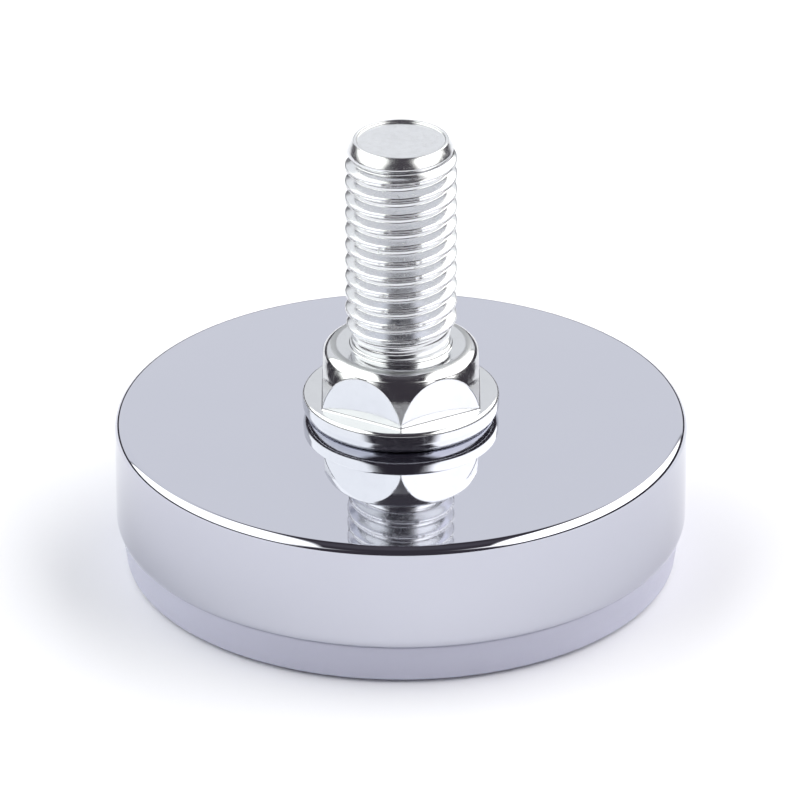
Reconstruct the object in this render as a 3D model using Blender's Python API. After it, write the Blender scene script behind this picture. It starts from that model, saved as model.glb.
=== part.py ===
"""Adjustable levelling foot: an M10 stud with a hexagon collar that turns freely in a chromed round base.

Units are metres, +Z is up, and the origin is the middle of the sole, on the floor. The stud's axis is the Z axis.
The stud, its hexagon, its flange and its journal are one cold-headed piece. Its tail is riveted over a washer,
which holds it in the pressed shell. A ribbed plastic base snaps into the shell from below and carries the pad.
"""

import math

import bmesh
import bpy

MM = 0.001

# Driving dimensions
BASE_R = 25.0 * MM  # outside of the shell
BASE_TOP = 13.4 * MM  # rim of the shell's top, above the floor
OVERALL = 40.0 * MM  # end of the stud, above the floor
COLLAR_TOP = BASE_TOP + 7.1 * MM
SHEET = 1.0 * MM  # thickness of the shell's steel
HEX_FLATS = 13.6 * MM  # across flats
GAP = 0.25 * MM  # between pieces that rest on each other

# Thread: M10 x 1.5, right-handed
THREAD_R = 4.87 * MM  # crest
THREAD_ROOT_R = 4.08 * MM
THREAD_PITCH = 1.5 * MM
THREAD_FORM = ((0.06, 1.0), (0.44, 0.0), (0.56, 0.0), (0.94, 1.0))  # (share of the pitch, height) of corners
RUN_OUT = 1.6 * MM  # length over which the thread fades into the neck
NECK_R = 4.25 * MM
NECK_LENGTH = 0.9 * MM
NECK_FOOT_R = 4.45 * MM
NECK_FOOT = 0.4 * MM
SEAT_INNER_R = 5.05 * MM  # inside this radius the collar's top starts to rise into the neck
SEAT_RISE = 0.04 * MM
END_R = 4.05 * MM
DISH_DEPTH = 0.2 * MM
SINK = 1.0 * MM  # how far joined shapes run into each other

# Hexagon collar and flange
DOME_R = 10.0 * MM  # radius of the arc that trims the hexagon's corners
DOME_WIDEST_R = 7.92 * MM
DOME_WIDEST_Z = BASE_TOP + 1.8 * MM
DOME_END = 27.7  # degrees along that arc, where the shoulder takes over
SHOULDER_R = 1.2 * MM
CROWN = 0.52 * MM  # rise of the shell's top from its rim to its hole
FLANGE_BOTTOM = BASE_TOP + CROWN + GAP
FLANGE_FOOT_R = 8.1 * MM
FLANGE_R = 8.62 * MM
FLANGE_RIM_Z = BASE_TOP + 1.95 * MM
FLANGE_EDGE_R = 8.4 * MM
FLANGE_EDGE_Z = BASE_TOP + 2.45 * MM
FLANGE_TOP_R = 7.4 * MM
FLANGE_TOP = BASE_TOP + 2.6 * MM

# Shell
RIM_ROUND = 0.8 * MM
SHELL_BOTTOM = 3.64 * MM
LIP_INNER_R = 23.5 * MM
LIP_HEIGHT = 1.3 * MM
LIP_ROUND = 0.4 * MM
SHELL_HOLE_R = 4.8 * MM
WALL_INNER_R = BASE_R - SHEET
CEILING = BASE_TOP - SHEET

# Journal and riveted tail, with the stack that they hold under the shell's ceiling
JOURNAL_R = 4.5 * MM
TAIL_R = 6.2 * MM
TAIL_HEIGHT = 1.4 * MM
TAIL_DOME = 0.6 * MM
PLATE_R, PLATE_HOLE_R, PLATE_T = 15.0 * MM, 4.8 * MM, 1.2 * MM
PLATE_TOP = CEILING - GAP
PLATE_BOTTOM = PLATE_TOP - PLATE_T
WAVE_INNER_R, WAVE_OUTER_R = 4.9 * MM, 7.4 * MM
WAVE_T, WAVE_SWING, WAVES = 0.4 * MM, 0.3 * MM, 3
WAVE_MIDDLE = PLATE_BOTTOM - GAP - WAVE_T / 2 - WAVE_SWING
WASHER_R, WASHER_HOLE_R, WASHER_T = 8.0 * MM, 4.8 * MM, 1.2 * MM
WASHER_TOP = WAVE_MIDDLE - WAVE_SWING - WAVE_T / 2 - GAP
WASHER_BOTTOM = WASHER_TOP - WASHER_T
BROKEN_EDGE = 0.2 * MM
TAIL_TOP = WASHER_BOTTOM - GAP
TAIL_BOTTOM = TAIL_TOP - TAIL_HEIGHT

# Plastic base
BAND_TOP_R, BAND_FOOT_R = 24.6 * MM, 24.15 * MM
BAND_TOP = SHELL_BOTTOM - GAP
BAND_FOOT = 0.3 * MM
BAND_ROUND = 0.25 * MM
GROOVE_R = 23.2 * MM
SNAP_R = 23.7 * MM
SNAP_BOTTOM = SHELL_BOTTOM + LIP_HEIGHT + GAP
FLOOR_TOP = 2.9 * MM
WALL_T = 1.9 * MM
RING_INNER_R, RING_OUTER_R = 16.0 * MM, 17.6 * MM
BOSS_INNER_R, BOSS_OUTER_R = 9.2 * MM, 11.0 * MM
LOW_TOP = PLATE_BOTTOM - GAP
HIGH_TOP = CEILING - GAP
RIB_COUNT, RIB_T = 8, 1.6 * MM
PAD_RECESS_R, PAD_RECESS_TOP = 20.3 * MM, 1.5 * MM

# Pad
PAD_R, PAD_TOP = 20.0 * MM, 1.25 * MM
PAD_GROOVES = (7.0 * MM, 13.5 * MM)  # radii of their middles
PAD_GROOVE_HALF, PAD_GROOVE_DEPTH = 0.7 * MM, 0.4 * MM

LARGE_SEGMENTS = 64
SMALL_SEGMENTS = 40
THREAD_SEGMENTS = 32
DOME_SEGMENTS = 50  # none of its edges meets a corner of the hexagon


def clear_scene():
    for obj in list(bpy.data.objects):
        bpy.data.objects.remove(obj)


def make_material(name, colour, roughness, metallic):
    material = bpy.data.materials.new(name)
    material.use_nodes = True
    shader = material.node_tree.nodes["Principled BSDF"]
    shader.inputs["Base Color"].default_value = (*colour, 1.0)
    shader.inputs["Roughness"].default_value = roughness
    shader.inputs["Metallic"].default_value = metallic
    return material


def arc(centre, radius, start, end, steps):
    """Points on an arc in the (r, z) plane. Angles are in degrees, from +r towards +z."""
    points = []
    for i in range(steps + 1):
        angle = math.radians(start + (end - start) * i / steps)
        points.append((centre[0] + radius * math.cos(angle), centre[1] + radius * math.sin(angle)))
    return points


def object_from(bm, name, material=None):
    """A new object that holds the bmesh, with its faces pointing out."""
    bmesh.ops.recalc_face_normals(bm, faces=bm.faces)
    mesh = bpy.data.meshes.new(name)
    bm.to_mesh(mesh)
    bm.free()
    mesh.shade_smooth()
    mesh.set_sharp_from_angle(angle=math.radians(30))
    if material:
        mesh.materials.append(material)
    obj = bpy.data.objects.new(name, mesh)
    bpy.context.scene.collection.objects.link(obj)
    return obj


def turned(name, outline, material=None, segments=SMALL_SEGMENTS, closed=False):
    """The (r, z) outline turned about Z. A closed outline makes a ring; an open one runs from axis to axis."""
    bm = bmesh.new()
    verts = [bm.verts.new((r, 0.0, z)) for r, z in outline]
    pairs = list(zip(verts, verts[1:]))
    if closed:
        pairs.append((verts[-1], verts[0]))
    edges = [bm.edges.new(pair) for pair in pairs]
    bmesh.ops.spin(
        bm,
        geom=verts + edges,
        cent=(0, 0, 0),
        axis=(0, 0, 1),
        angle=math.tau,
        steps=segments,
        use_merge=True,
    )
    bmesh.ops.remove_doubles(bm, verts=bm.verts, dist=1e-7)
    return object_from(bm, name, material)


def combine(target, tool, operation):
    """A Boolean between two objects. The tool stays in the scene as a hidden helper."""
    tool.hide_render = True
    tool.display_type = "WIRE"
    modifier = target.modifiers.new(f"{operation.title()}_{tool.name}", "BOOLEAN")
    modifier.operation = operation
    modifier.object = tool
    modifier.solver = "EXACT"


def thread_radius(height, z):
    """Radius of the shank where the thread's form has this height, from 0 in a root to 1 on a crest."""
    fade = min(1.0, max(0.0, (z - COLLAR_TOP - NECK_LENGTH) / RUN_OUT))
    full = THREAD_ROOT_R + (THREAD_R - THREAD_ROOT_R) * height
    chamfer = END_R + OVERALL - z
    return min(NECK_R + (full - NECK_R) * fade, chamfer)


def make_thread(name):
    """The shank as a helical sheet, one pitch up in each turn, cut flat at both ends, with a dished end."""
    bottom = COLLAR_TOP - SINK
    rows = []
    for turn in range(-2, math.ceil((OVERALL - bottom) / THREAD_PITCH) + 1):
        rows += [(turn + share, height) for share, height in THREAD_FORM]
    bm = bmesh.new()
    columns = []
    for j in range(THREAD_SEGMENTS + 1):
        angle = math.tau * j / THREAD_SEGMENTS
        column = []
        for share, height in rows:
            z = bottom + (share + j / THREAD_SEGMENTS) * THREAD_PITCH
            r = thread_radius(height, z)
            column.append(bm.verts.new((r * math.cos(angle), r * math.sin(angle), z)))
        columns.append(column)
    for near, far in zip(columns, columns[1:]):
        for k in range(len(rows) - 1):
            bm.faces.new((near[k], far[k], far[k + 1], near[k + 1]))
    bmesh.ops.remove_doubles(bm, verts=bm.verts, dist=1e-7)
    for z, normal in ((bottom, -1), (OVERALL, 1)):
        everything = bm.verts[:] + bm.edges[:] + bm.faces[:]
        bmesh.ops.bisect_plane(
            bm, geom=everything, dist=1e-7, plane_co=(0, 0, z), plane_no=(0, 0, normal), clear_outer=True
        )
        rim = [edge for edge in bm.edges if edge.is_boundary and abs(edge.verts[0].co.z - z) < 1e-6]
        rim = [edge for edge in rim if abs(edge.verts[1].co.z - z) < 1e-6]
        cap = bmesh.ops.contextual_create(bm, geom=rim)["faces"]
    bmesh.ops.recalc_face_normals(bm, faces=bm.faces)
    bmesh.ops.inset_individual(bm, faces=cap, thickness=DISH_DEPTH, depth=-DISH_DEPTH)
    return object_from(bm, name)


def make_hexagon(name):
    """A six-sided prism, one corner towards -Y, trimmed by a dome that ends in the flared foot of the neck."""
    bm = bmesh.new()
    corner = HEX_FLATS / math.sqrt(3)
    depth = COLLAR_TOP - FLANGE_TOP + 2 * SINK
    bmesh.ops.create_cone(bm, cap_ends=True, segments=6, radius1=corner, radius2=corner, depth=depth)
    hexagon = object_from(bm, name)
    hexagon.location.z = (COLLAR_TOP + FLANGE_TOP) / 2
    side = arc((DOME_WIDEST_R - DOME_R, DOME_WIDEST_Z), DOME_R, 0, DOME_END, 5)
    angle = math.radians(DOME_END)
    middle_r = side[-1][0] - SHOULDER_R * math.cos(angle)
    shoulder = arc((middle_r, COLLAR_TOP - SHOULDER_R), SHOULDER_R, DOME_END, 90, 3)
    bottom = FLANGE_TOP - 2 * SINK
    neck_foot = [
        (SEAT_INNER_R, COLLAR_TOP),
        (NECK_FOOT_R, COLLAR_TOP + SEAT_RISE),
        (NECK_R - NECK_FOOT / 2, COLLAR_TOP + NECK_FOOT),
        (0, COLLAR_TOP + NECK_FOOT),
    ]
    outline = [(0, bottom), (DOME_WIDEST_R, bottom)] + side + shoulder[1:] + neck_foot
    combine(hexagon, turned("dome_tool", outline, segments=DOME_SEGMENTS), "INTERSECT")
    return hexagon


def make_stud(zinc):
    """Riveted tail, journal and flange in one turned shape, joined with the hexagon, the neck and the thread."""
    outline = [
        (0, TAIL_BOTTOM),
        (TAIL_R - TAIL_DOME, TAIL_BOTTOM),
        (TAIL_R, TAIL_BOTTOM + TAIL_DOME),
        (TAIL_R, TAIL_TOP),
        (JOURNAL_R, TAIL_TOP),
        (JOURNAL_R, FLANGE_BOTTOM),
        (FLANGE_FOOT_R, FLANGE_BOTTOM),
        (FLANGE_R, FLANGE_RIM_Z),
        (FLANGE_EDGE_R, FLANGE_EDGE_Z),
        (FLANGE_TOP_R, FLANGE_TOP),
        (0, FLANGE_TOP),
    ]
    stud = turned("flanged_stud", outline, zinc)
    combine(stud, make_hexagon("hexagon_tool"), "UNION")
    combine(stud, make_thread("thread_tool"), "UNION")


def make_shell(chrome):
    """Pressed cap: a slightly conical top with the journal's hole, a rounded rim, and a lip for the base."""
    outline = [(SHELL_HOLE_R, BASE_TOP + CROWN)]
    outline += arc((BASE_R - RIM_ROUND, BASE_TOP - RIM_ROUND), RIM_ROUND, 90, 0, 4)
    outline += arc((BASE_R - LIP_ROUND, SHELL_BOTTOM + LIP_ROUND), LIP_ROUND, 0, -90, 2)
    outline += [
        (LIP_INNER_R, SHELL_BOTTOM),
        (LIP_INNER_R, SHELL_BOTTOM + LIP_HEIGHT / 2),
        (WALL_INNER_R, SHELL_BOTTOM + LIP_HEIGHT),
        (WALL_INNER_R, CEILING),
        (SHELL_HOLE_R, CEILING + CROWN),
    ]
    turned("chrome_shell", outline, chrome, segments=LARGE_SEGMENTS, closed=True)


def make_flat_ring(name, inner, outer, bottom, top, material):
    """A flat washer or plate with broken edges on its outside."""
    outline = [
        (inner, bottom),
        (outer - BROKEN_EDGE, bottom),
        (outer, bottom + BROKEN_EDGE),
        (outer, top - BROKEN_EDGE),
        (outer - BROKEN_EDGE, top),
        (inner, top),
    ]
    turned(name, outline, material, closed=True)


def make_wave_washer(steel):
    """A thin spring washer whose ring rises and falls in even waves, so that it presses on the washer below."""
    bm = bmesh.new()
    rings = []
    segments = 16 * WAVES
    for j in range(segments):
        angle = math.tau * j / segments
        middle = WAVE_MIDDLE + WAVE_SWING * math.cos(WAVES * angle)
        corners = [
            (WAVE_INNER_R, middle - WAVE_T / 2),
            (WAVE_OUTER_R, middle - WAVE_T / 2),
            (WAVE_OUTER_R, middle + WAVE_T / 2),
            (WAVE_INNER_R, middle + WAVE_T / 2),
        ]
        rings.append([bm.verts.new((r * math.cos(angle), r * math.sin(angle), z)) for r, z in corners])
    for j, here in enumerate(rings):
        there = rings[(j + 1) % segments]
        for k in range(4):
            bm.faces.new((here[k], there[k], there[(k + 1) % 4], here[(k + 1) % 4]))
    object_from(bm, "wave_washer", steel)


def make_rib(name, turn):
    """A radial rib of the base, from the boss to the outer wall, turned about Z by an angle in radians."""
    low = (BOSS_OUTER_R - RIB_T / 4, -RIB_T / 2, FLOOR_TOP - RIB_T / 4)
    high = (SNAP_R - WALL_T + RIB_T / 4, RIB_T / 2, LOW_TOP - GAP)
    bm = bmesh.new()
    bmesh.ops.create_cube(bm, size=1.0)
    for vert in bm.verts:
        vert.co = [(low[k] + high[k]) / 2 + vert.co[k] * (high[k] - low[k]) for k in range(3)]
    rib = object_from(bm, name)
    rib.rotation_euler.z = turn
    return rib


def make_base(nylon):
    """Moulded base: a floor with the band that shows below the shell, three rings, and ribs between them."""
    wall_inner_r = SNAP_R - WALL_T
    outline = [
        (0, PAD_RECESS_TOP),
        (PAD_RECESS_R, PAD_RECESS_TOP),
        (PAD_RECESS_R, BAND_FOOT),
        *arc((BAND_FOOT_R - BAND_ROUND, BAND_FOOT + BAND_ROUND), BAND_ROUND, -90, 0, 2),
        (BAND_TOP_R, BAND_TOP),
        (GROOVE_R, BAND_TOP),
        (GROOVE_R, SNAP_BOTTOM - (SNAP_R - GROOVE_R)),
        (SNAP_R, SNAP_BOTTOM),
        (SNAP_R, HIGH_TOP),
        (wall_inner_r, HIGH_TOP),
        (wall_inner_r, FLOOR_TOP),
        (RING_OUTER_R, FLOOR_TOP),
        (RING_OUTER_R, HIGH_TOP),
        (RING_INNER_R, HIGH_TOP),
        (RING_INNER_R, FLOOR_TOP),
        (BOSS_OUTER_R, FLOOR_TOP),
        (BOSS_OUTER_R, LOW_TOP),
        (BOSS_INNER_R, LOW_TOP),
        (BOSS_INNER_R, FLOOR_TOP),
        (0, FLOOR_TOP),
    ]
    base = turned("plastic_base", outline, nylon, segments=LARGE_SEGMENTS)
    for i in range(RIB_COUNT):
        combine(base, make_rib(f"rib_tool_{i}", math.tau * i / RIB_COUNT), "UNION")


def make_pad(rubber):
    """Anti-slip pad: a disc with rings of grooves in its underside."""
    outline = [(0, PAD_TOP), (PAD_R, PAD_TOP), (PAD_R, 0)]
    for middle in reversed(PAD_GROOVES):
        outline += [
            (middle + PAD_GROOVE_HALF, 0),
            (middle + PAD_GROOVE_HALF / 2, PAD_GROOVE_DEPTH),
            (middle - PAD_GROOVE_HALF / 2, PAD_GROOVE_DEPTH),
            (middle - PAD_GROOVE_HALF, 0),
        ]
    outline.append((0, 0))
    turned("anti_slip_pad", outline, rubber, segments=LARGE_SEGMENTS)


def main():
    clear_scene()
    chrome = make_material("chrome", (0.60, 0.61, 0.68), 0.04, 1.0)
    zinc = make_material("bright_zinc", (0.72, 0.74, 0.76), 0.16, 1.0)
    steel = make_material("plain_steel", (0.55, 0.56, 0.58), 0.35, 1.0)
    nylon = make_material("pale_nylon", (0.52, 0.53, 0.60), 0.45, 0.0)
    rubber = make_material("grey_rubber", (0.12, 0.12, 0.13), 0.80, 0.0)
    make_shell(chrome)
    make_stud(zinc)
    make_flat_ring("backing_plate", PLATE_HOLE_R, PLATE_R, PLATE_BOTTOM, PLATE_TOP, steel)
    make_wave_washer(steel)
    make_flat_ring("retaining_washer", WASHER_HOLE_R, WASHER_R, WASHER_BOTTOM, WASHER_TOP, steel)
    make_base(nylon)
    make_pad(rubber)


main()
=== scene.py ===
"""Looks of the levelling foot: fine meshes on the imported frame, procedural materials and a pale studio.

Units are metres. Heights on the collar are worked out from RIM, the plane where the shell's rim begins.
"""

import math

import bmesh
import bpy
from mathutils import Matrix, Vector


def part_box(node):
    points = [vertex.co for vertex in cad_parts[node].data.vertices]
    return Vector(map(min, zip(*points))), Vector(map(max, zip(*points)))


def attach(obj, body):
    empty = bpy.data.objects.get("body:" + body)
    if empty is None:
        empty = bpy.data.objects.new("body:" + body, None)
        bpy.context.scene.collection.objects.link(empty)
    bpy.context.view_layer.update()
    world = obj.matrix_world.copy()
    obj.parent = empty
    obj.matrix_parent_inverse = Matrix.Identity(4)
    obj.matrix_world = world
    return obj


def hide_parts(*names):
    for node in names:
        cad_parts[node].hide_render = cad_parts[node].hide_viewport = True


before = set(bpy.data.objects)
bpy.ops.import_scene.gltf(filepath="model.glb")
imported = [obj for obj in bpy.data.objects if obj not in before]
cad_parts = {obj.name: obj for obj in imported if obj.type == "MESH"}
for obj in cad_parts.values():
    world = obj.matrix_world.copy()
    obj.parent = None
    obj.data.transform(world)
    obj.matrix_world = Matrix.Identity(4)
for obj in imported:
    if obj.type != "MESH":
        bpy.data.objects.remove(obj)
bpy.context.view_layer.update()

MM = 0.001
SHARP_ANGLE = math.radians(50)  # edges sharper than this stay crisp

# Places from the frame
SHELL_LOW, SHELL_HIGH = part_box("chrome_shell")
STUD_LOW, STUD_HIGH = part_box("flanged_stud")
BASE_LOW, BASE_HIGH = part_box("plastic_base")
PAD_LOW, PAD_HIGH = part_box("anti_slip_pad")
PLATE_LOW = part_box("backing_plate")[0]

# Shell
SHELL_R = SHELL_HIGH.x
SHEET = 1.0 * MM
SUPPORT = 0.06 * MM  # width of the rows beside a rounding, which keep its neighbours' shading straight
RIM_WIDTH, RIM_DROP = 0.8 * MM, 0.8 * MM
RIM_STEPS = 18
INNER_BEND = 0.3 * MM  # bevel inside, between wall and ceiling
HOLE_R, HOLE_EDGE = 4.8 * MM, 0.15 * MM
CROWN = 0.52 * MM
RIM = SHELL_HIGH.z - CROWN
CONE = CROWN / (SHELL_R - RIM_WIDTH - HOLE_R)
LIP_FOOT = SHELL_LOW.z + 0.08 * MM
LIP_ROUND, LIP_RISE = 0.55 * MM, 0.3 * MM  # the lip's rounding, and how much taller than wide it is
LIP_EDGE_R, LIP_EDGE = SHELL_R - 1.5 * MM, 0.1 * MM
LIP_HEIGHT = 1.3 * MM
SHELL_SEGMENTS = 288

# Stud: thread M10 x 1.5, right-handed
STUD_TOP = STUD_HIGH.z
PITCH = 1.5 * MM
CREST_R, ROOT_R = 4.86 * MM, 4.08 * MM
CREST_HALF, FLANK = 0.17 * MM, 0.42 * MM
CREST_GROOVE, CREST_GROOVE_DEPTH = 0.10 * MM, 0.045 * MM  # left where the rolled crest's two sides met
NICK_DEPTH, NICK_WAVES = 0.06 * MM, (23.7, 37.1, 53.9)  # depth of the crest's nicks, and waves along it
NICK_REACH = 1.4  # how far down the flanks the nicks go, in halves of the crest
SOFTENING = (-0.05 * MM, -0.025 * MM, 0.0, 0.025 * MM, 0.05 * MM)  # shifts averaged to round the thread
NECK_R, NECK_FOOT_R = 4.25 * MM, 4.42 * MM
NECK_LENGTH, NECK_RING = 0.9 * MM, 0.05 * MM
NECK_TOP = 0.4 * MM  # above the collar, where the thread's rows end
NECK_BEND = 0.08 * MM
BEAD_OUT, BEAD_UP, BEAD_FOOT = 0.02 * MM, 0.2 * MM, 0.2 * MM  # the bead where the neck meets the collar
BEAD_BLEND = 0.06 * MM
RUN_OUT = 1.6 * MM
END_R, END_EDGE, END_BREAK = 4.05 * MM, 0.08 * MM, 0.05 * MM
END_TAPER = 1.8 * MM
BLANK_R = 4.55 * MM
BLANK_LENGTH, BLANK_BLEND = 0.4 * END_TAPER, 0.65 * END_TAPER
DISH_R, DISH_DEPTH, DISH_SAG = 3.84 * MM, 0.22 * MM, 0.03 * MM
DISH_BEND, DISH_BEND_UP, DISH_EDGE = 0.3 * MM, 0.12 * MM, 0.14 * MM
ROWS_IN_PITCH = 44
THREAD_START = 0.2  # where the helix starts, in turns

# Hexagon collar and flange
COLLAR_TOP = RIM + 7.1 * MM
HEX_APOTHEM = 6.8 * MM
HEX_CORNER_ROUND = 0.12 * MM
DOME_R = 10.0 * MM
DOME_MIDDLE = (-2.08 * MM, RIM + 1.8 * MM)
DOME_END = math.radians(27.7)
SHOULDER_R = 1.2 * MM
TOP_INSET = 0.05 * MM  # width of the first row of the collar's flat top, beside the bead
BROKEN_EDGE = 0.09 * MM
FLAT_FOOT = RIM + 2.75 * MM
FLANGE_TOP = RIM + 2.5 * MM
FLANGE_R = 8.6 * MM
FLANGE_ROUND = 0.35 * MM
FLANGE_FOOT_R = 8.1 * MM
FLANGE_BEVEL = 0.12 * MM
FLANGE_TUCK = RIM + 1.5 * MM  # below this height the flange curves in to its foot
FLANGE_TUCK_DEPTH = 0.4 * MM
FLANGE_SUPPORT = 0.05 * MM  # width of the row above the tuck
FLANGE_GAP = 0.05 * MM  # between the flange's underside and the shell
COLUMNS_IN_SECTOR = 26
CORNER_COLUMNS = (0.4, 0.8, 1.15)  # degrees beside each corner of the hexagon

# Dull marks on the collar. A pair of places is the stretch over which a mark fades in or out
DIE_MARK_DEPTH = (0.01 * MM, 0.05 * MM)  # under the dome's surface
DIE_MARK_FOOT = (FLANGE_TOP + 0.1 * MM, FLAT_FOOT + 0.3 * MM)
DIE_MARK_TOP = (RIM + 4.7 * MM, RIM + 5.3 * MM)
WORN_INNER_R, WORN_OUTER_R = (5.55 * MM, 5.7 * MM), (6.08 * MM, 6.22 * MM)
WORN_FOOT = (COLLAR_TOP - 0.6 * MM, COLLAR_TOP - 0.4 * MM)
WORN_TOP = (COLLAR_TOP + 0.02 * MM, COLLAR_TOP + 0.1 * MM)

# Journal and riveted tail
JOURNAL_R, JOURNAL_EDGE = 4.5 * MM, 0.2 * MM
TAIL_R, TAIL_HEIGHT, TAIL_DOME, TAIL_EDGE = 6.2 * MM, 1.4 * MM, 0.6 * MM, 0.1 * MM

# Plastic base and pad
BAND_TOP_R, BAND_FOOT_R, BAND_ROUND = BASE_HIGH.x, BASE_HIGH.x - 0.45 * MM, 0.25 * MM
BAND_TOP = LIP_FOOT - 0.03 * MM
BAND_EDGE, BAND_EDGE_WIDTH, BAND_EDGE_TAPER = 0.1 * MM, 0.12 * MM, 0.02 * MM
GROOVE_R, SNAP_R, SNAP_BOTTOM = 23.2 * MM, 23.7 * MM, SHELL_LOW.z + 1.55 * MM
SNAP_BEVEL = 0.3 * MM
BASE_FLOOR = 2.9 * MM
WALL_T = 1.9 * MM
RING_INNER_R, RING_OUTER_R = 16.0 * MM, 17.6 * MM
BOSS_INNER_R, BOSS_OUTER_R = 9.2 * MM, 11.0 * MM
BOSS_TOP = PLATE_LOW.z - 0.25 * MM
RIB_COUNT, RIB_T, RIB_TOP = 8, 1.6 * MM, BOSS_TOP - 0.25 * MM
RIB_BITE = RIB_T / 4  # how far a rib reaches into the floor, the boss and the wall
RECESS_R, RECESS_TOP = 20.3 * MM, 1.5 * MM
RECESS_ROUND, RECESS_EDGE = 0.1 * MM, 0.15 * MM
BASE_SEGMENTS = 240
PAD_GROOVES = (7.0 * MM, 13.5 * MM)
PAD_GROOVE_HALF, PAD_GROOVE_DEPTH = 0.7 * MM, 0.4 * MM
PAD_TOP_EDGE, PAD_FOOT_EDGE = 0.15 * MM, 0.2 * MM
PAD_SEGMENTS = 160

# Camera
CAMERA_ELEVATION = math.radians(26.94)
CAMERA_DISTANCE = 0.625
CAMERA_LENS, CAMERA_SENSOR = 321.75, 36.0
AIM_UP, AIM_LEFT = 1.34 * MM, 0.08 * MM  # the middle of the view, seen from the middle of the rim

# Surroundings
FLOOR_HALF = 0.5
BACKDROP_R = 2.5

# Studio. Places are parts of a direction of length 1: x to the right, y to the back and z up
LEFT_PANEL, RIGHT_PANEL = (2.38, 2.41, 2.31), (3.05, 3.02, 2.90)
BACK_WALL = (1.03, 1.045, 1.075)
DARK_SIDE, DARK_ABOVE = (0.06, 0.053, 0.065), (0.105, 0.097, 0.113)
DARK_CHANGE = (0.85, 0.98)  # heights between which the dark beside turns into the dark above
MIDDLE = (-0.15, 0.15)  # x between which the left side turns into the right side
GAP_HALF = 0.31  # half the width of the dark gap between the panels overhead
GAP_WIDER_RIGHT, GAP_WIDER_FRONT = 0.06, 0.22
GAP_BLUR, GAP_FOOT = 0.03, (0.54, 0.66)
PANEL_REAR, PANEL_FRONT, PANEL_FOOT = (0.60, 0.64), (-0.78, -0.62), (0.19, 0.25)
PANEL_REAR_RIGHT = 0.18  # how much further back the right panel ends
PANEL_TILT = 0.04  # how the panels' foot rises to the right
BACK_FRONT, BACK_FOOT = (0.62, 0.66), (0.14, 0.22)


# ---------------------------------------------------------------- outlines


def arc(centre, radius, start, end, steps):
    """Points on an arc in the (r, z) plane. Angles are in radians, from +r towards +z."""
    points = []
    for i in range(steps + 1):
        angle = start + (end - start) * i / steps
        points.append((centre[0] + radius * math.cos(angle), centre[1] + radius * math.sin(angle)))
    return points


def line(start, end, steps):
    """Points from start towards end, without end itself."""
    return [tuple(start[k] + (end[k] - start[k]) * i / steps for k in range(2)) for i in range(steps)]


def bend(start, corner, end, steps):
    """Points on a smooth bend that leaves start towards the corner and reaches end from it."""
    points = []
    for i in range(steps + 1):
        t = i / steps
        weights = ((1 - t) ** 2, 2 * t * (1 - t), t**2)
        points.append(tuple(sum(w * p[k] for w, p in zip(weights, (start, corner, end))) for k in range(2)))
    return points


def rounded(corner, back, ahead, steps):
    """Points on a smooth bend round a corner, between the points at these offsets from it."""
    start = (corner[0] + back[0], corner[1] + back[1])
    end = (corner[0] + ahead[0], corner[1] + ahead[1])
    return bend(start, corner, end, steps)


def smooth(value):
    """The value kept between 0 and 1, with a soft start and end."""
    value = min(1.0, max(0.0, value))
    return value * value * (3 - 2 * value)


# ---------------------------------------------------------------- pieces


def add_piece(bm, name, material, body):
    """A new piece that holds the bmesh, with its faces pointing out, and rides on a body."""
    bmesh.ops.recalc_face_normals(bm, faces=bm.faces)
    mesh = bpy.data.meshes.new(name)
    bm.to_mesh(mesh)
    bm.free()
    mesh.shade_smooth()
    mesh.set_sharp_from_angle(angle=SHARP_ANGLE)
    mesh.materials.append(material)
    piece = bpy.data.objects.new(name, mesh)
    bpy.context.scene.collection.objects.link(piece)
    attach(piece, body)
    return piece


def skin(name, columns, material, body, closed=False):
    """Joins columns of points, one for each angle round Z, into one closed skin.

    A closed column is a loop, which makes a ring; an open one starts and ends on the axis.
    """
    bm = bmesh.new()
    verts = [[bm.verts.new(point) for point in column] for column in columns]
    for j, near in enumerate(verts):
        far = verts[(j + 1) % len(verts)]
        count = len(near)
        for k in range(count if closed else count - 1):
            bm.faces.new((near[k], far[k], far[(k + 1) % count], near[(k + 1) % count]))
    bmesh.ops.remove_doubles(bm, verts=bm.verts, dist=1e-8)
    return add_piece(bm, name, material, body)


def turned(name, outline, segments, material, body, closed=False):
    """One (r, z) outline turned about Z."""
    columns = []
    for j in range(segments):
        angle = math.tau * j / segments
        columns.append([(r * math.cos(angle), r * math.sin(angle), z) for r, z in outline])
    return skin(name, columns, material, body, closed)


def cone_height(r):
    """Height of the shell's slightly conical top at this radius."""
    return RIM + CONE * (SHELL_R - RIM_WIDTH - r)


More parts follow.
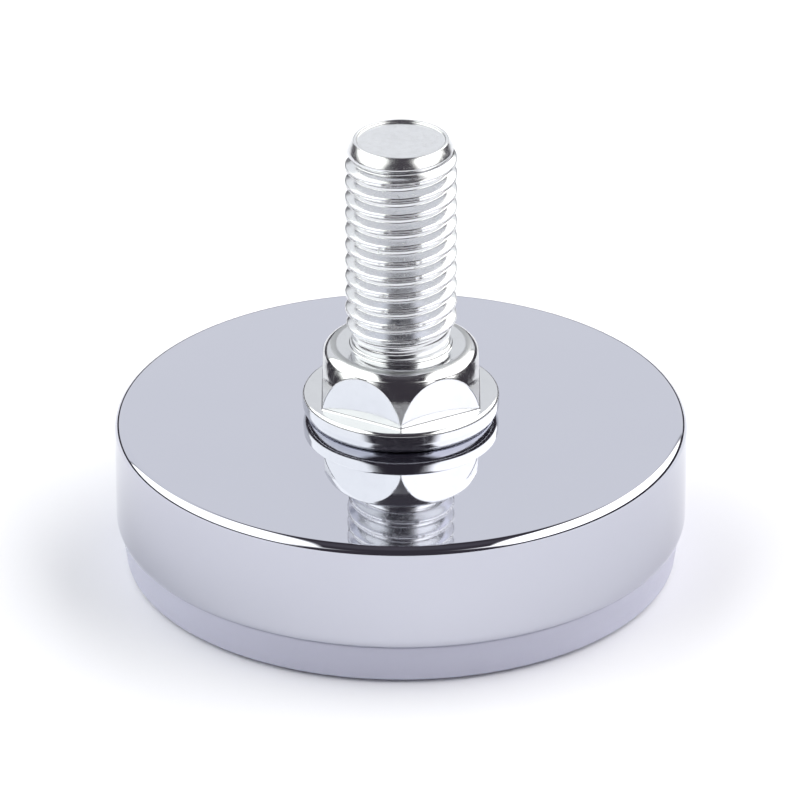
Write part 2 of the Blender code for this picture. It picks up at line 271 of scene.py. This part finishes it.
def thread_radius(angle, z):
    """Radius of the shank: a rounded thread that runs out into the ringed neck and the crowned taper."""
    turns = (z - COLLAR_TOP) / PITCH - angle / math.tau + THREAD_START
    phase = turns % 1.0
    from_crest = min(phase, 1 - phase) * PITCH
    rise = 0.0
    for shift in SOFTENING:
        rise += min(1.0, max(0.0, 1 - (abs(from_crest + shift) - CREST_HALF) / FLANK)) / len(SOFTENING)
    thread = ROOT_R + (CREST_R - ROOT_R) * rise - CREST_GROOVE_DEPTH * smooth(1 - from_crest / CREST_GROOVE)
    along = angle + math.tau * round(turns)
    nicks = sum(0.5 + 0.5 * math.sin(wave * along + wave) for wave in NICK_WAVES) / len(NICK_WAVES)
    thread -= NICK_DEPTH * nicks * smooth(NICK_REACH - from_crest / CREST_HALF)
    above_neck = z - COLLAR_TOP - NECK_LENGTH
    fade = smooth(above_neck / RUN_OUT)
    rings = NECK_RING * math.cos(2 * math.tau * phase) * smooth(1 + above_neck / NECK_LENGTH)
    shank = (NECK_R + rings) * (1 - fade) + thread * fade
    below_end = STUD_TOP - z
    shank = BLANK_R + (shank - BLANK_R) * smooth((below_end - BLANK_LENGTH) / BLANK_BLEND)
    share = min(1.0, below_end / END_TAPER)
    return min(shank, END_R + (CREST_R - END_R) * share * (1.5 - 0.5 * share))


def hexagon_radius(angle):
    """Distance from the axis to the hexagon's side at this angle. One rounded corner points along -Y."""
    sector = math.radians(60)
    from_flat = abs((angle - math.radians(-90)) % sector - sector / 2)
    inner = HEX_APOTHEM - HEX_CORNER_ROUND
    if from_flat < math.atan(inner * math.tan(sector / 2) / HEX_APOTHEM):
        return HEX_APOTHEM / math.cos(from_flat)
    middle = inner / math.cos(sector / 2)
    from_corner = sector / 2 - from_flat
    reach = middle * math.sin(from_corner)
    return middle * math.cos(from_corner) + math.sqrt(HEX_CORNER_ROUND**2 - reach**2)


def end_outline():
    """The dished end, from its middle to the top of the chamfer."""
    dish = STUD_TOP - DISH_DEPTH
    outline = line((0, dish - DISH_SAG), (DISH_R - DISH_BEND, dish), 6)
    outline += rounded((DISH_R, dish), (-DISH_BEND, 0), (0, DISH_BEND_UP), 5)
    outline += bend((DISH_R, dish + DISH_EDGE), (DISH_R, STUD_TOP), (DISH_R + END_EDGE, STUD_TOP), 4)
    outline += rounded((END_R, STUD_TOP), (-END_EDGE, 0), (END_BREAK, -END_BREAK), 4)
    return outline


def shank_outline(angle):
    """Thread and neck at one angle, down to the bead at the neck's foot."""
    top, foot = STUD_TOP - END_EDGE, COLLAR_TOP + NECK_TOP
    rows = round((top - foot) / PITCH * ROWS_IN_PITCH)
    outline = []
    for k in range(rows + 1):
        z = top + (foot - top) * k / rows
        outline.append((thread_radius(angle, z), z))
    bead = (NECK_FOOT_R + BEAD_OUT, COLLAR_TOP + BEAD_UP)
    outline += bend((NECK_R, foot - NECK_BEND), (NECK_R, bead[1] + BEAD_BLEND), bead, 4)
    outline += bend(bead, (NECK_FOOT_R, COLLAR_TOP), (NECK_FOOT_R + BEAD_FOOT, COLLAR_TOP), 5)[1:]
    return outline


def collar_outline(angle):
    """The collar's flat top, shoulder, dome and side at one angle, down to the fillet on the flange."""
    side = hexagon_radius(angle)
    cut = math.acos((side - DOME_MIDDLE[0]) / DOME_R)
    corner = (side, DOME_MIDDLE[1] + DOME_R * math.sin(cut))
    top_r = DOME_MIDDLE[0] + (DOME_R - SHOULDER_R) * math.cos(DOME_END)
    outline = line((NECK_FOOT_R + BEAD_FOOT + TOP_INSET, COLLAR_TOP), (top_r, COLLAR_TOP), 5)
    outline += arc((top_r, COLLAR_TOP - SHOULDER_R), SHOULDER_R, math.radians(90), DOME_END, 10)
    dome = arc(DOME_MIDDLE, DOME_R, DOME_END, min(DOME_END, cut + BROKEN_EDGE / DOME_R), 14)
    outline += dome[1:]
    below = (side, corner[1] - BROKEN_EDGE)
    outline += bend(dome[-1], corner, below, 5)[1:]
    outline += line(below, (side, FLAT_FOOT), 8)[1:]
    return outline


def flange_outline(side):
    """Fillet at the foot of the flats, flange, journal and riveted tail, down to the axis."""
    fillet = min(FLAT_FOOT - FLANGE_TOP, FLANGE_R - FLANGE_ROUND - side)
    outline = bend((side, FLAT_FOOT), (side, FLANGE_TOP), (side + fillet, FLANGE_TOP), 6)
    rim_middle = (FLANGE_R - FLANGE_ROUND, FLANGE_TOP - FLANGE_ROUND)
    outline += line(outline[-1], (rim_middle[0], FLANGE_TOP), 4)[1:]
    outline += arc(rim_middle, FLANGE_ROUND, math.radians(90), 0, 10)
    foot = cone_height(FLANGE_FOOT_R) + FLANGE_GAP
    bevel_top = (FLANGE_FOOT_R + FLANGE_BEVEL, foot + FLANGE_BEVEL)
    outline.append((FLANGE_R, FLANGE_TUCK + FLANGE_SUPPORT))
    outline += bend((FLANGE_R, FLANGE_TUCK), (FLANGE_R, FLANGE_TUCK - FLANGE_TUCK_DEPTH), bevel_top, 10)
    outline.append((FLANGE_FOOT_R, foot))
    under = cone_height(JOURNAL_R) + FLANGE_GAP
    outline += [(JOURNAL_R + JOURNAL_EDGE, under), (JOURNAL_R, under - JOURNAL_EDGE)]
    tail_foot = STUD_LOW.z
    tail_top = tail_foot + TAIL_HEIGHT
    outline += [(JOURNAL_R, tail_top), (TAIL_R - TAIL_EDGE, tail_top), (TAIL_R, tail_top - TAIL_EDGE)]
    outline += arc((TAIL_R - TAIL_DOME, tail_foot + TAIL_DOME), TAIL_DOME, 0, math.radians(-90), 6)
    outline.append((0, tail_foot))
    return outline


def stud_angles():
    """Angles of the stud's columns, closer together round the hexagon's corners."""
    offsets = [0.0, *CORNER_COLUMNS]
    offsets += [60 * i / COLUMNS_IN_SECTOR for i in range(1, COLUMNS_IN_SECTOR)]
    offsets += [60 - offset for offset in reversed(CORNER_COLUMNS)]
    return [math.radians(-90 + 60 * sector + offset) for sector in range(6) for offset in offsets]


def make_stud(material):
    """The headed stud in one skin: end, thread, neck, hexagon, flange, journal and riveted tail."""
    columns = []
    for angle in stud_angles():
        outline = end_outline() + shank_outline(angle) + collar_outline(angle)
        outline += flange_outline(hexagon_radius(angle))
        columns.append([(r * math.cos(angle), r * math.sin(angle), z) for r, z in outline])
    piece = skin("stud", columns, material, "stud")
    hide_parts("flanged_stud")


def make_shell(material):
    """The pressed cap: crowned top, rounded rim, straight wall, coined lip and the sheet's inner side."""
    flat_r = SHELL_R - RIM_WIDTH
    hole_edge = HOLE_R + HOLE_EDGE
    inside = flat_r - SUPPORT
    outline = line((hole_edge, cone_height(hole_edge)), (inside, cone_height(inside)), 8)
    outline += [(inside, cone_height(inside)), (flat_r, RIM)]
    for i in range(1, RIM_STEPS + 1):
        angle = math.radians(90 - 90 * i / RIM_STEPS)
        outline.append((flat_r + RIM_WIDTH * math.cos(angle), RIM - RIM_DROP * (1 - math.sin(angle))))
    lip = LIP_FOOT
    wall_foot = (SHELL_R, lip + LIP_ROUND + LIP_RISE)
    outline += line((SHELL_R, RIM - RIM_DROP - SUPPORT), (SHELL_R, wall_foot[1] + SUPPORT), 6)
    outline.append((SHELL_R, wall_foot[1] + SUPPORT))
    outline += bend(wall_foot, (SHELL_R, lip), (SHELL_R - LIP_ROUND, lip), 12)
    inner_r, ceiling, crown = SHELL_R - SHEET, RIM - SHEET, RIM + CROWN
    outline += [
        (LIP_EDGE_R + LIP_EDGE, lip),
        (LIP_EDGE_R, lip + LIP_EDGE),
        (LIP_EDGE_R, lip + LIP_HEIGHT / 2),
        (inner_r, lip + LIP_HEIGHT),
        (inner_r, ceiling - INNER_BEND),
        (inner_r - INNER_BEND, ceiling),
        (HOLE_R, crown - SHEET),
        (HOLE_R, crown - HOLE_EDGE),
    ]
    piece = turned("shell", outline, SHELL_SEGMENTS, material, "base", closed=True)
    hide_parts("chrome_shell")


def add_rib(piece, name, turn):
    """Joins a radial rib to the base with a Boolean."""
    low = (BOSS_OUTER_R - RIB_BITE, -RIB_T / 2, BASE_FLOOR - RIB_BITE)
    high = (SNAP_R - WALL_T + RIB_BITE, RIB_T / 2, RIB_TOP)
    bm = bmesh.new()
    bmesh.ops.create_cube(bm, size=1.0)
    for vert in bm.verts:
        vert.co = [(low[k] + high[k]) / 2 + vert.co[k] * (high[k] - low[k]) for k in range(3)]
    bmesh.ops.rotate(bm, verts=bm.verts, cent=(0, 0, 0), matrix=Matrix.Rotation(turn, 3, "Z"))
    mesh = bpy.data.meshes.new(name)
    bm.to_mesh(mesh)
    bm.free()
    rib = bpy.data.objects.new(name, mesh)
    bpy.context.scene.collection.objects.link(rib)
    modifier = piece.modifiers.new(name, "BOOLEAN")
    modifier.operation = "UNION"
    modifier.object = rib
    modifier.solver = "EXACT"
    return rib


def make_base(material):
    """The moulded base: rings and ribs inside the shell, and the tapered band that shows below it."""
    foot = BASE_LOW.z
    outline = line((0, RECESS_TOP), (RECESS_R - RECESS_ROUND, RECESS_TOP), 3)
    outline += rounded((RECESS_R, RECESS_TOP), (-RECESS_ROUND, 0), (0, -RECESS_ROUND), 3)
    outline += rounded((RECESS_R, foot), (0, RECESS_EDGE), (RECESS_EDGE, 0), 4)
    round_middle = (BAND_FOOT_R - BAND_ROUND, foot + BAND_ROUND)
    outline += line((RECESS_R + 2 * RECESS_EDGE, foot), (round_middle[0], foot), 3)
    outline += arc(round_middle, BAND_ROUND, math.radians(-90), math.radians(-8), 8)
    edge = (BAND_TOP_R - BAND_EDGE_TAPER, BAND_TOP - BAND_EDGE)
    outline += line((BAND_FOOT_R, foot + BAND_ROUND), edge, 4)
    outline += rounded((BAND_TOP_R, BAND_TOP), (-BAND_EDGE_TAPER, -BAND_EDGE), (-BAND_EDGE_WIDTH, 0), 3)
    outline += [
        (GROOVE_R, BAND_TOP),
        (GROOVE_R, SNAP_BOTTOM - (SNAP_R - GROOVE_R)),
        (SNAP_R, SNAP_BOTTOM),
        (SNAP_R, BASE_HIGH.z - SNAP_BEVEL),
        (SNAP_R - SNAP_BEVEL, BASE_HIGH.z),
        (SNAP_R - WALL_T, BASE_HIGH.z),
        (SNAP_R - WALL_T, BASE_FLOOR),
        (RING_OUTER_R, BASE_FLOOR),
        (RING_OUTER_R, BASE_HIGH.z),
        (RING_INNER_R, BASE_HIGH.z),
        (RING_INNER_R, BASE_FLOOR),
        (BOSS_OUTER_R, BASE_FLOOR),
        (BOSS_OUTER_R, BOSS_TOP),
        (BOSS_INNER_R, BOSS_TOP),
        (BOSS_INNER_R, BASE_FLOOR),
        (0, BASE_FLOOR),
    ]
    piece = turned("base", outline, BASE_SEGMENTS, material, "base")
    helpers = [add_rib(piece, f"rib_helper_{i}", math.tau * i / RIB_COUNT) for i in range(RIB_COUNT)]
    apply_modifiers(piece, helpers)
    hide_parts("plastic_base")


def apply_modifiers(piece, helpers):
    """Puts the piece's evaluated mesh in place of its mesh and removes the helpers."""
    bpy.context.view_layer.update()
    evaluated = piece.evaluated_get(bpy.context.evaluated_depsgraph_get())
    mesh = bpy.data.meshes.new_from_object(evaluated)
    piece.modifiers.clear()
    piece.data = mesh
    for helper in helpers:
        bpy.data.objects.remove(helper)


def make_pad(material):
    """The anti-slip pad, with rings of rounded grooves in its underside."""
    low, high, r = PAD_LOW.z, PAD_HIGH.z, PAD_HIGH.x
    outline = line((0, high), (r - PAD_TOP_EDGE, high), 3)
    outline += rounded((r, high), (-PAD_TOP_EDGE, 0), (0, -PAD_TOP_EDGE), 3)
    outline += rounded((r, low), (0, PAD_FOOT_EDGE), (-PAD_FOOT_EDGE, 0), 4)
    for middle in reversed(PAD_GROOVES):
        outer, inner = (middle + PAD_GROOVE_HALF, low), (middle - PAD_GROOVE_HALF, low)
        deep = (middle, low + PAD_GROOVE_DEPTH * 2)
        outline += bend(outer, deep, inner, 8)
    outline.append((0, low))
    piece = turned("pad", outline, PAD_SEGMENTS, material, "base")
    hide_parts("anti_slip_pad")


# ---------------------------------------------------------------- materials


class Nodes:
    """The node tree of a new material, or of the world, with short calls to add and join nodes."""

    def __init__(self, owner):
        if isinstance(owner, str):
            owner = bpy.data.materials.new(owner)
            owner.use_nodes = True
        self.material = owner
        self.tree = owner.node_tree
        self.shader = self.tree.nodes.get("Principled BSDF") or self.tree.nodes["Background"]

    def add(self, kind, inputs=None, **settings):
        """A new node. Its inputs, by name or by number, are values or the sockets to join to them."""
        node = self.tree.nodes.new(kind)
        for key, value in settings.items():
            setattr(node, key, value)
        self.join(node, inputs or {})
        return node

    def join(self, node, inputs):
        for key, value in inputs.items():
            if isinstance(value, bpy.types.NodeSocket):
                self.tree.links.new(value, node.inputs[key])
            else:
                node.inputs[key].default_value = value

    def shade(self, inputs):
        """Sets or joins inputs of the shader."""
        self.join(self.shader, inputs)

    def coordinates(self, scale=(1, 1, 1)):
        """Coordinates in metres that stay with the piece, stretched by scale."""
        place = self.add("ShaderNodeTexCoord").outputs["Object"]
        return self.add("ShaderNodeMapping", {"Vector": place, "Scale": scale}).outputs["Vector"]

    def noise(self, scale, detail=3.0, roughness=0.5, stretch=(1, 1, 1)):
        """Noise from 0 to 1. A scale of 1000 makes features about a millimetre across."""
        vector = self.coordinates(stretch)
        inputs = {"Vector": vector, "Scale": scale, "Detail": detail, "Roughness": roughness}
        return self.add("ShaderNodeTexNoise", inputs).outputs["Fac"]

    def spread(self, value, low, high, out_low, out_high):
        """The value's range from low to high, stretched to another range and clamped."""
        inputs = {"Value": value, "From Min": low, "From Max": high, "To Min": out_low, "To Max": out_high}
        return self.add("ShaderNodeMapRange", inputs, interpolation_type="SMOOTHSTEP").outputs["Result"]

    def rises(self, value, low, high):
        """0 below low, 1 above high."""
        return self.spread(value, low, high, 0, 1)

    def falls(self, value, low, high):
        """1 below low, 0 above high."""
        return self.spread(value, low, high, 1, 0)

    def calculate(self, operation, first, second):
        return self.add("ShaderNodeMath", {0: first, 1: second}, operation=operation).outputs["Value"]

    def plus(self, first, second):
        return self.calculate("ADD", first, second)

    def minus(self, first, second):
        return self.calculate("SUBTRACT", first, second)

    def times(self, first, second):
        return self.calculate("MULTIPLY", first, second)

    def mix(self, factor, first, second):
        """A colour between two others, which are sockets or red, green and blue."""
        ends = [(*colour, 1) if isinstance(colour, tuple) else colour for colour in (first, second)]
        return self.add("ShaderNodeMix", {0: factor, 6: ends[0], 7: ends[1]}, data_type="RGBA").outputs[2]

    def bump(self, height, distance, normal=None, strength=1.0):
        inputs = {"Height": height, "Distance": distance, "Strength": strength}
        if normal:
            inputs["Normal"] = normal
        return self.add("ShaderNodeBump", inputs).outputs["Normal"]


def chrome_material():
    """Decorative chrome on a polished pressing: nearly a mirror, with waves, haze and hairline scratches."""
    n = Nodes("chrome_plating")
    haze = n.noise(70, detail=4, roughness=0.6)
    scratches = n.noise(900, detail=2, roughness=0.7, stretch=(1, 0.04, 1))
    hairlines = n.rises(scratches, 0.62, 0.70)
    waves = n.bump(n.noise(110, detail=2, roughness=0.4), 4e-6)
    n.shade({
        "Base Color": n.mix(haze, (0.524, 0.532, 0.60), (0.54, 0.548, 0.615)),
        "Metallic": 1.0,
        "Roughness": n.plus(n.spread(haze, 0.3, 0.75, 0.012, 0.05), n.times(hairlines, 0.03)),
        "Normal": n.bump(hairlines, 2e-7, normal=waves, strength=0.5),
    })
    return n.material


def die_mark(n, radius, height):
    """Where a corner of the hexagon was trimmed to the dome by the die, low down: 1 there, 0 elsewhere."""
    from_middle = n.minus(height, DOME_MIDDLE[1])
    chord = n.calculate("POWER", n.minus(DOME_R**2, n.times(from_middle, from_middle)), 0.5)
    depth = n.minus(n.plus(chord, DOME_MIDDLE[0]), radius)
    trimmed = n.times(n.falls(depth, *DIE_MARK_DEPTH), n.falls(height, *DIE_MARK_TOP))
    return n.times(trimmed, n.rises(height, *DIE_MARK_FOOT))


def worn_ring(n, radius, height):
    """The dull ring on the collar's shoulder: 1 there, 0 elsewhere."""
    ring = n.times(n.rises(radius, *WORN_INNER_R), n.falls(radius, *WORN_OUTER_R))
    return n.times(n.times(ring, n.rises(height, *WORN_FOOT)), n.falls(height, *WORN_TOP))


def zinc_material():
    """Bright zinc, smoother on the headed collar than on the rolled thread, with streaks and mottling."""
    n = Nodes("bright_zinc_plating")
    mottle = n.noise(1400, detail=4, roughness=0.65)
    clouds = n.noise(260, detail=3, roughness=0.55)
    streaks = n.noise(2600, detail=3, roughness=0.6, stretch=(1, 1, 0.03))
    x, y, height = n.add("ShaderNodeSeparateXYZ", {"Vector": n.coordinates()}).outputs
    radius = n.calculate("POWER", n.plus(n.times(x, x), n.times(y, y)), 0.5)
    rolled = n.rises(height, COLLAR_TOP, COLLAR_TOP + PITCH)
    mark, ring = die_mark(n, radius, height), worn_ring(n, radius, height)

    headed_colour = n.mix(clouds, (0.57, 0.58, 0.60), (0.64, 0.65, 0.665))
    thread_colour = n.mix(clouds, (0.68, 0.69, 0.71), (0.75, 0.76, 0.775))
    worn_colour = n.mix(clouds, (0.40, 0.41, 0.42), (0.50, 0.51, 0.52))
    rough = n.plus(n.spread(mottle, 0.35, 0.75, 0.08, 0.18), n.spread(streaks, 0.45, 0.8, 0.0, 0.08))
    for place, extra in ((rolled, 0.09), (ring, 0.22), (mark, 0.28)):
        rough = n.plus(rough, n.times(place, extra))
    dents = n.times(n.noise(2600, detail=3, roughness=0.7), mark)
    n.shade({
        "Base Color": n.mix(ring, n.mix(rolled, headed_colour, thread_colour), worn_colour),
        "Metallic": 1.0,
        "Roughness": rough,
        "Normal": n.bump(streaks, 1.4e-6, normal=n.bump(dents, 6e-5, normal=n.bump(mottle, 8e-7))),
    })
    return n.material


def nylon_material():
    """Pale moulded plastic, slightly translucent, with a fine satin grain and faint flow marks."""
    n = Nodes("moulded_nylon")
    flow = n.noise(160, detail=3, roughness=0.5, stretch=(1, 1, 3))
    grain = n.noise(5200, detail=3, roughness=0.6)
    n.shade({
        "Base Color": n.mix(flow, (0.46, 0.465, 0.575), (0.50, 0.505, 0.62)),
        "Roughness": n.spread(grain, 0.3, 0.7, 0.36, 0.50),
        "Subsurface Weight": 0.15,
        "Subsurface Radius": (1.0, 1.0, 1.1),
        "Subsurface Scale": 0.001,
        "IOR": 1.52,
        "Normal": n.bump(grain, 4e-6),
    })
    return n.material


def rubber_material():
    """Dark grey rubber with a dull, dusty grain."""
    n = Nodes("pad_rubber")
    dust = n.noise(420, detail=4, roughness=0.6)
    grain = n.noise(6500, detail=3, roughness=0.6)
    n.shade({
        "Base Color": n.mix(dust, (0.045, 0.045, 0.05), (0.085, 0.085, 0.09)),
        "Roughness": n.spread(dust, 0.3, 0.7, 0.62, 0.85),
        "Normal": n.bump(grain, 1.2e-5),
    })
    return n.material


def steel_material():
    """Plain stamped steel, tumbled and oiled, for the plates and washers inside."""
    n = Nodes("stamped_steel")
    stains = n.noise(300, detail=4, roughness=0.6)
    marks = n.noise(3200, detail=3, roughness=0.7)
    n.shade({
        "Base Color": n.mix(stains, (0.44, 0.44, 0.45), (0.58, 0.57, 0.55)),
        "Metallic": 1.0,
        "Roughness": n.spread(marks, 0.3, 0.7, 0.28, 0.45),
        "Normal": n.bump(marks, 6e-6),
    })
    return n.material


def floor_material():
    """Pale, faintly mottled studio floor."""
    n = Nodes("studio_floor")
    mottle = n.noise(9, detail=2)
    n.shade({"Base Color": n.mix(mottle, (0.84, 0.845, 0.90), (0.86, 0.865, 0.915)), "Roughness": 0.9})
    return n.material


# ---------------------------------------------------------------- surroundings


def make_world():
    """A studio: a large lit panel on each side, a white back, and dark between and under the panels."""
    world = bpy.data.worlds.new("studio")
    world.use_nodes = True
    n = Nodes(world)
    direction = n.add("ShaderNodeTexCoord").outputs["Generated"]
    x, y, z = n.add("ShaderNodeSeparateXYZ", {"Vector": direction}).outputs
    right = n.rises(x, *MIDDLE)

    gap_half = n.minus(n.plus(n.times(right, GAP_WIDER_RIGHT), GAP_HALF), n.times(y, GAP_WIDER_FRONT))
    beside_gap = n.minus(n.calculate("ABSOLUTE", x, 0), gap_half)
    gap = n.times(n.falls(beside_gap, -GAP_BLUR, GAP_BLUR), n.rises(z, *GAP_FOOT))

    rear = n.minus(y, n.times(right, PANEL_REAR_RIGHT))
    tilted = n.minus(z, n.times(x, PANEL_TILT))
    panel = n.times(n.falls(rear, *PANEL_REAR), n.rises(tilted, *PANEL_FOOT))
    panel = n.times(panel, n.rises(y, *PANEL_FRONT))
    back = n.times(n.rises(rear, *BACK_FRONT), n.rises(z, *BACK_FOOT))

    dark = n.mix(n.rises(z, *DARK_CHANGE), DARK_SIDE, DARK_ABOVE)
    light = n.mix(panel, n.mix(back, dark, BACK_WALL), n.mix(right, LEFT_PANEL, RIGHT_PANEL))
    n.shade({"Color": n.mix(gap, light, dark)})
    bpy.context.scene.world = world


def make_backdrop():
    """A plain white wall far outside the floor, which only the camera sees."""
    white = bpy.data.materials.new("backdrop")
    white.use_nodes = True
    shader = white.node_tree.nodes["Principled BSDF"]
    shader.inputs["Base Color"].default_value = (0.9, 0.9, 0.9, 1)
    shader.inputs["Emission Color"].default_value = (1, 1, 1, 1)
    shader.inputs["Emission Strength"].default_value = 1.0
    bm = bmesh.new()
    bmesh.ops.create_uvsphere(bm, u_segments=48, v_segments=24, radius=BACKDROP_R)
    mesh = bpy.data.meshes.new("backdrop")
    bm.to_mesh(mesh)
    bm.free()
    mesh.materials.append(white)
    backdrop = bpy.data.objects.new("backdrop", mesh)
    backdrop.visible_diffuse = False
    backdrop.visible_glossy = False
    backdrop.visible_shadow = False
    backdrop.visible_transmission = False
    bpy.context.scene.collection.objects.link(backdrop)


def make_floor():
    """A plain pale floor under the pad."""
    mesh = bpy.data.meshes.new("floor")
    corners = [(-1, -1), (1, -1), (1, 1), (-1, 1)]
    mesh.from_pydata([(x * FLOOR_HALF, y * FLOOR_HALF, PAD_LOW.z) for x, y in corners], [], [(0, 1, 2, 3)])
    mesh.materials.append(floor_material())
    floor = bpy.data.objects.new("floor", mesh)
    bpy.context.scene.collection.objects.link(floor)


def make_camera():
    """A camera with a long lens, in front of the foot and above it."""
    forward = Vector((0, math.cos(CAMERA_ELEVATION), -math.sin(CAMERA_ELEVATION)))
    up = Vector((0, math.sin(CAMERA_ELEVATION), math.cos(CAMERA_ELEVATION)))
    middle = Vector((0, 0, RIM))
    data = bpy.data.cameras.new("camera")
    data.lens = CAMERA_LENS
    data.sensor_width = CAMERA_SENSOR
    camera = bpy.data.objects.new("camera", data)
    camera.location = middle - forward * CAMERA_DISTANCE
    aim = middle + up * AIM_UP - Vector((AIM_LEFT, 0, 0))
    camera.rotation_mode = "QUATERNION"
    camera.rotation_quaternion = (aim - camera.location).to_track_quat("-Z", "Y")
    bpy.context.scene.collection.objects.link(camera)
    bpy.context.scene.camera = camera


def main():
    bpy.context.scene.view_settings.view_transform = "Standard"
    make_camera()
    make_world()
    make_floor()
    make_backdrop()
    make_shell(chrome_material())
    make_stud(zinc_material())
    make_base(nylon_material())
    make_pad(rubber_material())
    steel = steel_material()
    for name in ("backing_plate", "wave_washer", "retaining_washer"):
        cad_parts[name].data.materials.clear()
        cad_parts[name].data.materials.append(steel)


main()
